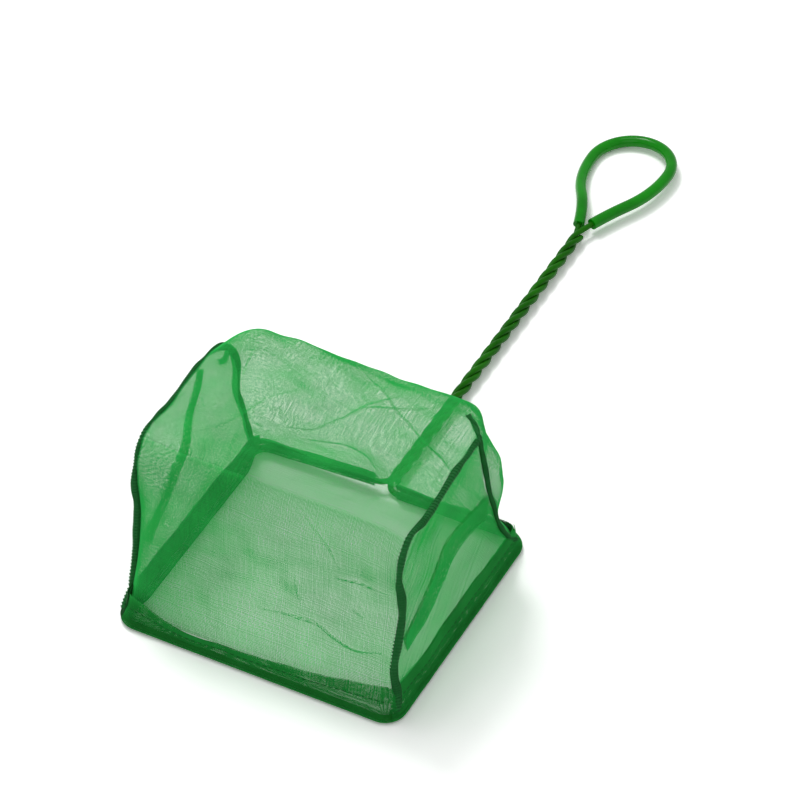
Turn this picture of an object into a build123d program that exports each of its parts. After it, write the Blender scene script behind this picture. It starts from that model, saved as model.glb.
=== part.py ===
from build123d import *
import math
import os

# Millimetres. The net lies mouth down on the floor at Z = 0, with the handle along +Y and +Z up.
# The origin is the middle of the bounding box, at floor level.

# Coated wire and the rectangular mouth frame, sizes on the wire's centreline
WIRE_D = 2.5
FRAME_WIDTH = 127.0
FRAME_DEPTH = 117.8
FRAME_CORNER_R = 7.5
ROOT_BEND_R = 5.0
ROOT_LEAD = 0.5

# Twisted shaft, three right-handed strands of the one wire, from the rear wire to the loop's neck
SHAFT_LENGTH = 184.0
TWIST_PITCH = 28.4
TWIST_STEPS = 6
STRAND_GAP = 0.15

# Hand loop and its vinyl sleeve, from the neck to the loop's far end
LOOP_LENGTH = 73.3
LOOP_WIDTH = 37.7
SLEEVE_D = 5.3
SLEEVE_BORE_CLEARANCE = 0.05
SLEEVE_END_GAP = 0.5
SLEEVE_END_STEP = 0.25

# Hem casings folded round the wire
HEM_D = 4.2
HEM_FLAT_DEPTH = 0.15
HEM_BORE_CLEARANCE = 0.1
HEM_FIN_T = 1.0
HEM_RISE = 9.0
HEM_ROOT_CLEARANCE = 0.6
GUSSET_INSET = 1.5

# Lockstitches through each casing
STITCH_LENGTH = 2.0
STITCH_PITCH = 3.0
STITCH_WIDTH = 0.4
STITCH_STAND = 0.3
STITCH_RISE = 5.0
STITCH_GAP = 0.02

# Mesh bag, standing on the mouth frame and leaning in at the front and the rear
MESH_T = 0.5
SEAM_D = 2.0
CLOTH_GAP = 0.2
BAG_HEIGHT = 82.5
SEAM_FOOT_INSET = 2.5
SEAM_FOOT_GAP = 0.5
FRONT_LEAN = 18.0
BACK_LEAN = 19.0
FRONT_FOLD_R = 12.0
BACK_FOLD_R = 13.0

# Coarse openings that stand for the fine mesh: how many across, and their share of each pitch
MESH_COLUMNS = 11
MESH_OPEN = 0.68

# Loose thread tails
TAIL_D = 1.8
TAIL_LENGTH = 7.0
TAIL_SWAY = 1.2
TAIL_BEND_R = 4.0

# Straight runs shorter than this are left out between two arcs
SHORTEST_RUN = 1e-6

# Levels and lines that follow from the sizes above
wire_r = WIRE_D / 2
sleeve_r = SLEEVE_D / 2
hem_r = HEM_D / 2
seam_r = SEAM_D / 2
tail_r = TAIL_D / 2
strand_r = (WIRE_D + STRAND_GAP) / math.sqrt(3)
shaft_z = strand_r + sleeve_r
frame_z = hem_r - HEM_FLAT_DEPTH
hem_top_z = frame_z + HEM_RISE
half_w = FRAME_WIDTH / 2
overall_length = hem_r + FRAME_DEPTH + SHAFT_LENGTH + LOOP_LENGTH + sleeve_r
front_y = hem_r - overall_length / 2
back_y = front_y + FRAME_DEPTH
root_y = back_y + ROOT_BEND_R + ROOT_LEAD
neck_y = back_y + SHAFT_LENGTH
twist_turns = max(1, round((neck_y - root_y) / TWIST_PITCH - 1 / 3)) + 1 / 3
twist_lay = (neck_y - root_y) / twist_turns
twist_rate = 2 * math.pi / twist_lay
gusset_x = half_w - GUSSET_INSET
strip_half = gusset_x - seam_r - CLOTH_GAP
wall_foot_z = hem_top_z + CLOTH_GAP
mesh_pitch = 2 * strip_half / MESH_COLUMNS
mesh_cut = FRONT_FOLD_R + BACK_FOLD_R
seam_foot_z = frame_z + wire_r + seam_r + SEAM_FOOT_GAP

# The bag's side outline, counted from the front wire, (back, up)
front_foot = (SEAM_FOOT_INSET, seam_foot_z)
front_top = (SEAM_FOOT_INSET + FRONT_LEAN, BAG_HEIGHT)
back_top = (FRAME_DEPTH - SEAM_FOOT_INSET - BACK_LEAN, BAG_HEIGHT)
back_foot = (FRAME_DEPTH - SEAM_FOOT_INSET, seam_foot_z)


def rounded_path(points, radii):
    """Edges through the points, with a tangent arc at each inner corner."""
    pts = [Vector(*p) for p in points]
    edges = []
    here = pts[0]
    for k in range(1, len(pts) - 1):
        into = (pts[k] - pts[k - 1]).normalized()
        out = (pts[k + 1] - pts[k]).normalized()
        turn = math.acos(max(-1.0, min(1.0, into.dot(out))))
        reach = radii[k - 1] * math.tan(turn / 2)
        start = pts[k] - into * reach
        end = pts[k] + out * reach
        if (start - here).length > SHORTEST_RUN:
            edges.append(Edge.make_line(here, start))
        edges.append(Edge.make_tangent_arc(start, into, end))
        here = end
    if (pts[-1] - here).length > SHORTEST_RUN:
        edges.append(Edge.make_line(here, pts[-1]))
    return edges


def tube(edges, radius, bore=0.0):
    """A round tube, or a solid wire, along tangent edges."""
    path = Wire(edges)
    ring = Circle(radius)
    if bore > 0:
        ring = ring - Circle(bore)
    return sweep(Plane(origin=path @ 0, z_dir=path % 0) * ring, path=path)


def offset_points(points, amount):
    """An open outline in the Y-Z plane moved sideways, to its left for a positive amount."""
    dirs = []
    for a, b in zip(points, points[1:]):
        run = math.hypot(b[0] - a[0], b[1] - a[1])
        dirs.append(((b[0] - a[0]) / run, (b[1] - a[1]) / run))
    sides = [(-d[1], d[0]) for d in dirs]
    moved = []
    for k, p in enumerate(points):
        one = sides[max(k - 1, 0)]
        two = sides[min(k, len(sides) - 1)]
        share = amount / (1 + one[0] * two[0] + one[1] * two[1])
        moved.append((p[0] + (one[0] + two[0]) * share, p[1] + (one[1] + two[1]) * share))
    return moved


def at_x(x, points):
    """Outline points, counted from the front wire, set in space at one x."""
    return [(x, front_y + p[0], p[1]) for p in points]


def corner_reach(a, corner, b, radius):
    """How far before a rounded corner its arc begins."""
    one = (Vector(*corner) - Vector(*a)).normalized()
    two = (Vector(*b) - Vector(*corner)).normalized()
    return radius * math.tan(math.acos(one.dot(two)) / 2)


def along(a, b, distance):
    """The point this far from a towards b."""
    run = math.hypot(b[0] - a[0], b[1] - a[1])
    return (a[0] + (b[0] - a[0]) * distance / run, a[1] + (b[1] - a[1]) * distance / run)


def at_height(a, b, z):
    """The point of the line through a and b that lies at height z."""
    share = (z - a[1]) / (b[1] - a[1])
    return (a[0] + (b[0] - a[0]) * share, z)


# Twisted shaft: the left strand ends free at the neck and the return strand at the root
left_phase = 0.0
return_phase = 2 * math.pi / 3
right_phase = 4 * math.pi / 3


def strand_point(phase, y):
    """A point of a strand's centreline and its direction there."""
    turn = phase + twist_rate * (y - root_y)
    point = Vector(strand_r * math.sin(turn), y, shaft_z + strand_r * math.cos(turn))
    slope = strand_r * twist_rate
    return point, Vector(slope * math.cos(turn), 1, -slope * math.sin(turn)).normalized()


def biarc(p0, t0, p1, t1):
    """Two tangent arcs from one point and direction to another."""
    span = p1 - p0
    both = t0 + t1
    bend = 2 * (1 - t0.dot(t1))
    reach = (math.sqrt(span.dot(both) ** 2 + bend * span.dot(span)) - span.dot(both)) / bend
    near = p0 + t0 * reach
    far = p1 - t1 * reach
    middle = (near + far) * 0.5
    return [
        Edge.make_tangent_arc(p0, t0, middle),
        Edge.make_tangent_arc(middle, (far - near).normalized(), p1),
    ]


def twist_strand(phase):
    """One strand of the twist, from the frame to the loop's neck."""
    edges = []
    steps = round(twist_turns * TWIST_STEPS)
    for k in range(steps):
        y0 = root_y + (neck_y - root_y) * k / steps
        y1 = root_y + (neck_y - root_y) * (k + 1) / steps
        edges += biarc(*strand_point(phase, y0), *strand_point(phase, y1))
    return tube(edges, wire_r)


# Mouth frame
def strand_root(side):
    """Where the strand that runs on into one half of the frame begins, and its direction there."""
    return strand_point(left_phase if side < 0 else right_phase, root_y)


def root_corner(side):
    """Where a strand's line meets the rear wire's line."""
    point, ahead = strand_root(side)
    return tuple(point - ahead * ((root_y - back_y) / ahead.Y))


def mouth_frame(side):
    """Half of the mouth frame, from the shaft's root round to the front middle."""
    points = [
        tuple(strand_root(side)[0]),
        root_corner(side),
        (side * half_w, back_y, frame_z),
        (side * half_w, front_y, frame_z),
        (0, front_y, frame_z),
    ]
    radii = [ROOT_BEND_R, FRAME_CORNER_R, FRAME_CORNER_R]
    return tube(rounded_path(points, radii), wire_r)


# Hand loop
loop_half = LOOP_WIDTH / 2
loop_end_r = math.hypot(loop_half, strand_r)
loop_y = neck_y + LOOP_LENGTH - loop_end_r
right_wide = Vector(loop_half, loop_y, shaft_z + strand_r)
left_wide = Vector(-loop_half, loop_y, shaft_z - strand_r)
loop_tip = Vector(0, loop_y + loop_end_r, shaft_z)
right_leg = biarc(*strand_point(right_phase, neck_y), right_wide, Vector(0, 1, 0))
left_leg = biarc(*strand_point(return_phase, neck_y), left_wide, Vector(0, 1, 0))


def loop_edges(right_start, left_start):
    """The loop's centreline up the right leg and down the left, each leg begun this far from the neck."""
    rise, widen = right_leg
    fall, narrow = left_leg
    return [
        rise.trim(right_start / rise.length, 1),
        widen,
        Edge.make_tangent_arc(right_wide, Vector(0, 1, 0), loop_tip),
        Edge.make_tangent_arc(loop_tip, (left_wide - right_wide).normalized(), left_wide),
        narrow.reversed(),
        fall.trim(left_start / fall.length, 1).reversed(),
    ]


def clear_start(leg, other, apart):
    """How far from the neck a leg first lies this far apart from the other leg."""
    start = SLEEVE_END_STEP
    while other.distance_to(Vertex(*(leg @ (start / leg.length)))) < apart:
        start += SLEEVE_END_STEP
    return start


# The left sleeve end clears the bare right leg, and the right sleeve end clears the left sleeve
left_sleeve_start = clear_start(left_leg[0], right_leg[0], sleeve_r + wire_r + SLEEVE_END_GAP)
right_sleeve_start = clear_start(right_leg[0], left_leg[0], SLEEVE_D + SLEEVE_END_GAP)

# Hem casings
cut_block = Box(2 * overall_length, 2 * overall_length, overall_length)
floor_cut = Pos(0, 0, -overall_length / 2) * cut_block
top_cut = Pos(0, 0, hem_top_z + overall_length / 2) * cut_block


def hem_plane(start, end, lean):
    """The section plane at a hem's start, with its own Y up the fin."""
    run = (Vector(*end) - Vector(*start)).normalized()
    up = Vector(*lean)
    up = (up - run * up.dot(run)).normalized()
    return Plane(origin=start, x_dir=up.cross(run), z_dir=run)


def hem(start, end, lean):
    """A casing: a tube round the wire with a fin of two layers, cut level at its top and flat below."""
    plane = hem_plane(start, end, lean)
    fin = 2 * HEM_RISE
    section = Circle(hem_r) + Pos(0, fin / 2) * Rectangle(HEM_FIN_T, fin)
    section = section - Circle(wire_r + HEM_BORE_CLEARANCE)
    length = (Vector(*end) - Vector(*start)).length
    return extrude(plane * section, amount=length) - floor_cut - top_cut


def hem_stitches(start, end, lean, outer):
    """A row of lockstitches on a casing's outer face."""
    plane = hem_plane(start, end, lean)
    length = (Vector(*end) - Vector(*start)).length
    count = int((length - STITCH_LENGTH) // STITCH_PITCH)
    first = (length - (count - 1) * STITCH_PITCH) / 2
    stand = outer * (HEM_FIN_T / 2 + STITCH_GAP + STITCH_STAND / 2)
    row = []
    for k in range(count):
        spot = plane * Location((stand, STITCH_RISE, first + k * STITCH_PITCH))
        row.append(spot * Box(STITCH_STAND, STITCH_WIDTH, STITCH_LENGTH))
    return Compound(children=row)


front_wall_y = at_height(front_foot, front_top, hem_top_z)[0]
back_wall_y = at_height(back_foot, back_top, hem_top_z)[0]
front_x = half_w - FRAME_CORNER_R


def rear_hem_ends(side):
    """The rear casing's two ends on the sloping wire."""
    a = Vector(*root_corner(side))
    b = Vector(side * half_w, back_y, frame_z)
    run = (b - a).normalized()
    bend = corner_reach(tuple(strand_root(side)[0]), tuple(a), tuple(b), ROOT_BEND_R)
    return tuple(a + run * (bend + HEM_ROOT_CLEARANCE)), tuple(b - run * FRAME_CORNER_R)


side_y0 = front_y + FRAME_CORNER_R
side_y1 = back_y - FRAME_CORNER_R
hems = {
    "front_hem": ((-front_x, front_y, frame_z), (front_x, front_y, frame_z), (0, front_wall_y, HEM_RISE)),
    "left_hem": ((-half_w, side_y0, frame_z), (-half_w, side_y1, frame_z), (GUSSET_INSET, 0, HEM_RISE)),
    "right_hem": ((half_w, side_y0, frame_z), (half_w, side_y1, frame_z), (-GUSSET_INSET, 0, HEM_RISE)),
    "back_left_hem": (*rear_hem_ends(-1), (0, back_wall_y - FRAME_DEPTH, HEM_RISE)),
    "back_right_hem": (*rear_hem_ends(1), (0, back_wall_y - FRAME_DEPTH, HEM_RISE)),
}
outer_face = {"front_hem": 1, "left_hem": -1, "right_hem": 1, "back_left_hem": 1, "back_right_hem": -1}

# Mesh bag
outline = [front_foot, front_top, back_top, back_foot]
front_reach = corner_reach(front_foot, front_top, back_top, FRONT_FOLD_R)
back_reach = corner_reach(front_top, back_top, back_foot, BACK_FOLD_R)
front_break = along(front_top, front_foot, front_reach)
back_break = along(back_top, back_foot, back_reach)
flat_start = along(front_top, back_top, front_reach)
flat_end = along(back_top, front_top, back_reach)


def spaced(length):
    """How many openings lie along a length, and their pitch."""
    count = max(1, round(length / mesh_pitch))
    return count, length / count


def strip_openings(low, high):
    """Prisms that open the strip between two points of its outline in a plain grid."""
    a, b = [Vector(*p) for p in at_x(0, [low, high])]
    across = Vector(1, 0, 0)
    plane = Plane(origin=(a + b) * 0.5, x_dir=across, z_dir=across.cross(b - a))
    rows, up = spaced((b - a).length)
    hole = Box(MESH_OPEN * mesh_pitch, MESH_OPEN * up, mesh_cut)
    cuts = []
    for row in range(rows):
        for column in range(MESH_COLUMNS):
            spot = ((column + 0.5) * mesh_pitch - strip_half, (row + 0.5 - rows / 2) * up, 0)
            cuts.append(plane * Location(spot) * hole)
    return cuts


def gusset_openings(side, points):
    """Prisms that open a side panel in rows, each as long as the panel is at the row's upper edge."""
    rows, up = spaced(points[1][1] - wall_foot_z)
    cuts = []
    for row in range(rows):
        top = wall_foot_z + (row + 1) * up
        start = at_height(points[0], points[1], top)[0]
        end = at_height(points[3], points[2], top)[0]
        if top > min(front_break[1], back_break[1]):
            start = flat_start[0]
            end = flat_end[0]
        count, step = spaced(end - start)
        hole = Box(mesh_cut, MESH_OPEN * step, MESH_OPEN * up)
        for column in range(count):
            spot = (side * gusset_x, front_y + start + (column + 0.5) * step, top - up / 2)
            cuts.append(Pos(*spot) * hole)
    return cuts


def strip_panel(face_edges):
    """A panel of the mesh strip, drawn in the Y-Z plane at the left seam and run across to the right one."""
    return extrude(make_face(face_edges), amount=2 * strip_half, dir=(1, 0, 0))


def wall(foot, top, end):
    """A straight wall of the strip, level at its foot and square at its top."""
    low = at_height(foot, top, wall_foot_z)
    sides = [offset_points([low, end], h) for h in (MESH_T / 2, -MESH_T / 2)]
    corners = [at_height(sides[0][0], sides[0][1], wall_foot_z), sides[0][1], sides[1][1]]
    corners.append(at_height(sides[1][0], sides[1][1], wall_foot_z))
    panel = strip_panel(Polyline(*at_x(-strip_half, corners), close=True).edges())
    return panel - strip_openings(low, end)


def floor_panel():
    """The bag floor with its two rounded folds."""
    points = [front_break, front_top, back_top, back_break]
    h = MESH_T / 2
    over = at_x(-strip_half, offset_points(points, h))
    under = at_x(-strip_half, offset_points(points, -h))
    edges = rounded_path(over, [FRONT_FOLD_R + h, BACK_FOLD_R + h])
    edges += rounded_path(under, [FRONT_FOLD_R - h, BACK_FOLD_R - h])
    edges.append(Edge.make_line(over[0], under[0]))
    edges.append(Edge.make_line(over[-1], under[-1]))
    panel = strip_panel(edges) - strip_openings(flat_start, flat_end)
    return panel - strip_openings(front_break, flat_start) - strip_openings(flat_end, back_break)


def gusset(side):
    """A flat side panel, held inside the seam."""
    inset = seam_r + CLOTH_GAP
    points = offset_points(outline, -inset)
    points[0] = at_height(points[0], points[1], wall_foot_z)
    points[3] = at_height(points[3], points[2], wall_foot_z)
    edge = at_x(side * gusset_x - MESH_T / 2, points)
    edges = rounded_path(edge, [FRONT_FOLD_R - inset, BACK_FOLD_R - inset])
    edges.append(Edge.make_line(edge[-1], edge[0]))
    panel = extrude(make_face(edges), amount=MESH_T, dir=(1, 0, 0))
    return panel - gusset_openings(side, points)


def seam(side, run):
    """One run of the overlocked seam on one side."""
    x = side * gusset_x
    if run == "front":
        end = along(front_top, front_foot, front_reach + CLOTH_GAP)
        ends = at_x(x, [front_foot, end])
        return tube([Edge.make_line(*ends)], seam_r)
    if run == "back":
        end = along(back_top, back_foot, back_reach + CLOTH_GAP)
        ends = at_x(x, [back_foot, end])
        return tube([Edge.make_line(*ends)], seam_r)
    points = at_x(x, [front_break, front_top, back_top, back_break])
    return tube(rounded_path(points, [FRONT_FOLD_R, BACK_FOLD_R]), seam_r)


def left_tail():
    """The left tail hangs down the gusset from inside the rear fold."""
    x = -gusset_x - MESH_T / 2 - CLOTH_GAP - tail_r
    centre_z = BAG_HEIGHT - BACK_FOLD_R
    centre_y = at_height(*offset_points([back_top, back_foot], -BACK_FOLD_R), centre_z)[0]
    inside = (BACK_FOLD_R - seam_r - CLOTH_GAP - tail_r) * math.sqrt(0.5)
    a = (centre_y + inside, centre_z + inside)
    b = (a[0] - 2 * TAIL_SWAY, a[1] - TAIL_LENGTH / 2)
    c = (b[0] + TAIL_SWAY, b[1] - TAIL_LENGTH / 2)
    return tube(rounded_path(at_x(x, [a, b, c]), [TAIL_BEND_R]), tail_r)


def right_tail():
    """The right tail lies on the bag floor beside its seam."""
    z = BAG_HEIGHT + MESH_T / 2 + CLOTH_GAP + tail_r
    x = gusset_x - seam_r - tail_r - CLOTH_GAP
    y = front_y + back_top[0] - BACK_FOLD_R
    a = (x, y, z)
    b = (x - TAIL_LENGTH / 2, y - TAIL_SWAY, z)
    c = (x - TAIL_LENGTH, y, z)
    return tube(rounded_path([a, b, c], [TAIL_BEND_R]), tail_r)


nodes = {
    "mouth_frame_left": mouth_frame(-1),
    "mouth_frame_right": mouth_frame(1),
    "twist_strand_left": twist_strand(left_phase),
    "twist_strand_right": twist_strand(right_phase),
    "twist_strand_return": twist_strand(return_phase),
    "loop_core": tube(loop_edges(0, 0), wire_r),
    "loop_sleeve": tube(
        loop_edges(right_sleeve_start, left_sleeve_start), sleeve_r, wire_r + SLEEVE_BORE_CLEARANCE
    ),
    "front_wall": wall(front_foot, front_top, along(front_top, front_foot, front_reach + CLOTH_GAP)),
    "bag_floor": floor_panel(),
    "back_wall": wall(back_foot, back_top, along(back_top, back_foot, back_reach + CLOTH_GAP)),
    "left_gusset": gusset(-1),
    "right_gusset": gusset(1),
    "left_seam_tail": left_tail(),
    "right_seam_tail": right_tail(),
}
for name, (start, end, lean) in hems.items():
    nodes[name] = hem(start, end, lean)
    nodes[name + "_stitches"] = hem_stitches(start, end, lean, outer_face[name])
for side_name, side in (("left", -1), ("right", 1)):
    for run in ("front", "floor", "back"):
        nodes[side_name + "_" + run + "_seam"] = seam(side, run)

os.makedirs("parts", exist_ok=True)
for name, shape in nodes.items():
    export_step(shape, "parts/" + name + ".step")
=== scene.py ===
import logging
import math
from dataclasses import dataclass, field
from enum import Enum

import bpy
import numpy as np
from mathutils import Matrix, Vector


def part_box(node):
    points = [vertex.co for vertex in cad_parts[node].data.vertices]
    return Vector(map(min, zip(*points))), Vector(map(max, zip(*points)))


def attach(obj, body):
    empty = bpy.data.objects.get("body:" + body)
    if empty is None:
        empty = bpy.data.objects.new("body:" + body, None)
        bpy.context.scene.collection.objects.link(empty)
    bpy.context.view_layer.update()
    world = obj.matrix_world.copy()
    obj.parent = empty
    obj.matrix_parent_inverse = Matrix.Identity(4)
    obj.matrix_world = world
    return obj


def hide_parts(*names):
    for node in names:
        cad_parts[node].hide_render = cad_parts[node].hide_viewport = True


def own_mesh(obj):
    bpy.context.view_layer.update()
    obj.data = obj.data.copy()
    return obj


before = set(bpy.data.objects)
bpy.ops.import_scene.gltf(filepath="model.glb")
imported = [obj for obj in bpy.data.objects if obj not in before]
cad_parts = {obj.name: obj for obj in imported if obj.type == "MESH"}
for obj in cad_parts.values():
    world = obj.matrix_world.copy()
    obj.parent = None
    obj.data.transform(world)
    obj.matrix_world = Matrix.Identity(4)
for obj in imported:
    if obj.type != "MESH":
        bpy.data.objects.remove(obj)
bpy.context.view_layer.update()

LOG = logging.getLogger("fish_net")
MM = 0.001
TINY = 1e-12
UP = np.array([0.0, 0.0, 1.0])
HEM_OUT = 2.1 * MM
FRONT_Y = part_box("front_hem")[0].y + HEM_OUT
ROPE_SIDES = 6

# The bag and its frame in millimetres and radians
CORNER = 7.5
HALF_CORNER = math.pi / 4
BAG_FOOT = 6.5
BAG_TOP = 82.5
FLOOR_DROP = 55.0
STRIP_WIDE = 124.0
STRIP_PANEL = 78.0

# Where a seam ends, counted in panels of the strip from the front hem
SEAM_END = 3.0


class Body(str, Enum):
    """The two CAD bodies that pieces ride on."""

    RIM = "rim"
    BAG_FLOOR = "bag_floor"


class Slot(str, Enum):
    """The record's material slots that the sewn pieces take."""

    HEM = "hem_tape"
    NET = "net_mesh"
    THREAD = "sewing_thread"


class Side(float, Enum):
    """The two sides of the bag, as the sign of x."""

    LEFT = -1.0
    RIGHT = 1.0


class Run(str, Enum):
    """Which way the threads of a lattice run."""

    ACROSS = "across"
    ALONG = "along"


def to_frame(points: np.ndarray) -> np.ndarray:
    """Move millimetre points, counted from the front wire, into the row frame.

    Args:
        points: Points in millimetres, (..., 3).

    Returns:
        The same points in metres in the row frame.
    """
    moved = np.asarray(points, float) * MM
    moved[..., 1] += FRONT_Y
    return moved


def unit(vectors: np.ndarray) -> np.ndarray:
    """Scale vectors to length one."""
    return vectors / np.maximum(np.linalg.norm(vectors, axis=-1, keepdims=True), TINY)


def together(a: np.ndarray, b: np.ndarray) -> tuple[np.ndarray, np.ndarray]:
    """Bring two parameters to one shape."""
    return tuple(np.broadcast_arrays(np.asarray(a, float), np.asarray(b, float)))


def runs_along(line: np.ndarray) -> np.ndarray:
    """Measure a line from its start to each of its points."""
    return np.concatenate([[0], np.cumsum(np.linalg.norm(np.diff(line, axis=0), axis=1))])


def read_line(runs: np.ndarray, line: np.ndarray, at: np.ndarray) -> np.ndarray:
    """Read a line of straight runs at lengths along it."""
    return np.stack([np.interp(at, runs, column) for column in line.T], axis=-1)


def hermite(knots: np.ndarray, values: np.ndarray, at: np.ndarray) -> np.ndarray:
    """Read a smooth curve through given values.

    Args:
        knots: Rising parameters, (n,).
        values: Values at the knots, (n, k).
        at: Parameters to read, of any shape.

    Returns:
        The values there, shaped as at with k at the end.
    """
    slopes = np.gradient(values, knots, axis=0)
    spot = np.clip(np.searchsorted(knots, at, "right") - 1, 0, len(knots) - 2)
    gap = (knots[spot + 1] - knots[spot])[..., None]
    s = (at - knots[spot])[..., None] / gap
    s2, s3 = s * s, s * s * s
    near = (2 * s3 - 3 * s2 + 1) * values[spot] + (s3 - 2 * s2 + s) * gap * slopes[spot]
    far = (3 * s2 - 2 * s3) * values[spot + 1] + (s3 - s2) * gap * slopes[spot + 1]
    return near + far


def smoothstep(x: np.ndarray) -> np.ndarray:
    """Ease from 0 to 1.

    Args:
        x: Values of any shape.

    Returns:
        0 below 0, 1 above 1, and an S-curve between.
    """
    x = np.clip(x, 0.0, 1.0)
    return x * x * (3 - 2 * x)


def ease_ends(share: np.ndarray, steep: float) -> np.ndarray:
    """Rise from 0 at both ends of a 0 to 1 range to 1 inside it."""
    return smoothstep(np.minimum(share, 1 - share) * steep)


@dataclass(frozen=True)
class Ripple:
    """A soft random wave over one or two coordinates, the same on every run."""

    size: float
    depth: float
    seed: int
    waves: int = 7
    stretch: tuple[float, float] = (0.7, 1.6)

    def at(self, a: np.ndarray, b: np.ndarray | float = 0.0) -> np.ndarray:
        """Read the wave.

        Args:
            a: First coordinate in millimetres.
            b: Second coordinate in millimetres.

        Returns:
            Heights in millimetres.
        """
        rng = np.random.default_rng(self.seed)
        total = np.zeros(np.broadcast(a, b).shape)
        for _ in range(self.waves):
            turn, phase = rng.uniform(0, 2 * math.pi, 2)
            rate = 2 * math.pi / (self.size * rng.uniform(*self.stretch))
            total = total + np.sin(rate * (a * math.cos(turn) + b * math.sin(turn)) + phase)
        return total * self.depth / math.sqrt(self.waves)


@dataclass(frozen=True)
class Crease:
    """A sharp fold line pressed into a panel, in millimetres across and along the strip."""

    path: tuple[tuple[float, float], ...]
    depth: float
    width: float
    fade: float = 4.0

    def at(self, a: np.ndarray, b: np.ndarray) -> np.ndarray:
        """Read the crease's height.

        Args:
            a: First coordinate in millimetres.
            b: Second coordinate in millimetres.

        Returns:
            Heights in millimetres, which fade out at the ends.
        """
        total = np.zeros(np.broadcast(a, b).shape)
        runs = [math.dist(p, q) for p, q in zip(self.path, self.path[1:])]
        whole, done = sum(runs), 0.0
        for p, q, run in zip(self.path, self.path[1:], runs):
            da, db = (q[0] - p[0]) / run, (q[1] - p[1]) / run
            along = np.clip((a - p[0]) * da + (b - p[1]) * db, 0, run)
            off = np.hypot(a - p[0] - along * da, b - p[1] - along * db)
            calm = ease_ends((done + along) / whole, self.fade)
            total = np.maximum(total, np.exp(-off / self.width) * calm)
            done += run
        return total * self.depth


class NodeSheet:
    """A small helper that lays out a material's nodes."""

    def __init__(self, name: str) -> None:
        """Start an empty material.

        Args:
            name: The material's name.
        """
        self.material = bpy.data.materials.new(name)
        self.material.use_nodes = True
        self.tree = self.material.node_tree
        self.tree.nodes.clear()
        self.output = self.tree.nodes.new("ShaderNodeOutputMaterial")
        self.place = self.add("TexCoord").outputs["Object"]

    def add(self, kind: str, **settings: object) -> bpy.types.Node:
        """Add a node.

        Args:
            kind: The node's type name without its ShaderNode prefix.
            settings: Attributes, or input values for names that match a socket.

        Returns:
            The node.
        """
        node = self.tree.nodes.new("ShaderNode" + kind)
        for name, value in settings.items():
            label = name.replace("_", " ")
            if label in node.inputs:
                node.inputs[label].default_value = value
            else:
                setattr(node, name, value)
        return node

    def link(self, source: bpy.types.NodeSocket, target: bpy.types.NodeSocket) -> None:
        """Join an output socket to an input socket."""
        self.tree.links.new(source, target)

    def noise(self, scale: float, detail: float, roughness: float = 0.5) -> bpy.types.NodeSocket:
        """Add noise over the object's own coordinates.

        Args:
            scale: How fine it is.
            detail: How many finer layers it has.
            roughness: How strong those layers are.

        Returns:
            The value output.
        """
        node = self.add("TexNoise", Scale=scale, Detail=detail, Roughness=roughness)
        self.link(self.place, node.inputs["Vector"])
        return node.outputs["Fac"]

    def ramp(
        self, source: bpy.types.NodeSocket, stops: list[tuple[float, tuple[float, ...]]]
    ) -> bpy.types.NodeSocket:
        """Add a colour ramp.

        Args:
            source: The factor.
            stops: Places and linear colours.

        Returns:
            The colour output.
        """
        node = self.add("ValToRGB")
        elements = node.color_ramp.elements
        for element, (place, colour) in zip(elements, stops, strict=True):
            element.position = place
            element.color = (*colour, 1.0)
        self.link(source, node.inputs["Fac"])
        return node.outputs["Color"]

    def stretch(self, source: bpy.types.NodeSocket, low: float, high: float) -> bpy.types.NodeSocket:
        """Map a 0 to 1 value onto a range.

        Args:
            source: The value.
            low: Result at 0.
            high: Result at 1.

        Returns:
            The mapped output.
        """
        node = self.add("MapRange", To_Min=low, To_Max=high)
        self.link(source, node.inputs["Value"])
        return node.outputs["Result"]

    def blend(
        self, factor: bpy.types.NodeSocket, first: bpy.types.NodeSocket, second: bpy.types.NodeSocket
    ) -> bpy.types.NodeSocket:
        """Mix two colours.

        Args:
            factor: 0 for the first colour, 1 for the second.
            first: A colour output.
            second: A colour output.

        Returns:
            The mixed colour.
        """
        node = self.add("Mix", data_type="RGBA")
        self.link(factor, node.inputs["Factor"])
        ends = [socket for socket in node.inputs if socket.type == "RGBA"]
        for source, end in zip((first, second), ends):
            self.link(source, end)
        return next(socket for socket in node.outputs if socket.type == "RGBA")

    def surface(
        self, shader: bpy.types.Node, height: bpy.types.NodeSocket, strength: float, distance: float
    ) -> bpy.types.Material:
        """Give a shader a fine relief and make it the material's surface.

        Args:
            shader: The shader node.
            height: The relief's height from 0 to 1.
            strength: How strong the relief is.
            distance: How deep it is, in metres.

        Returns:
            The finished material.
        """
        bump = self.add("Bump", Strength=strength, Distance=distance)
        self.link(height, bump.inputs["Height"])
        self.link(bump.outputs["Normal"], shader.inputs["Normal"])
        self.link(shader.outputs["BSDF"], self.output.inputs["Surface"])
        return self.material


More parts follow.
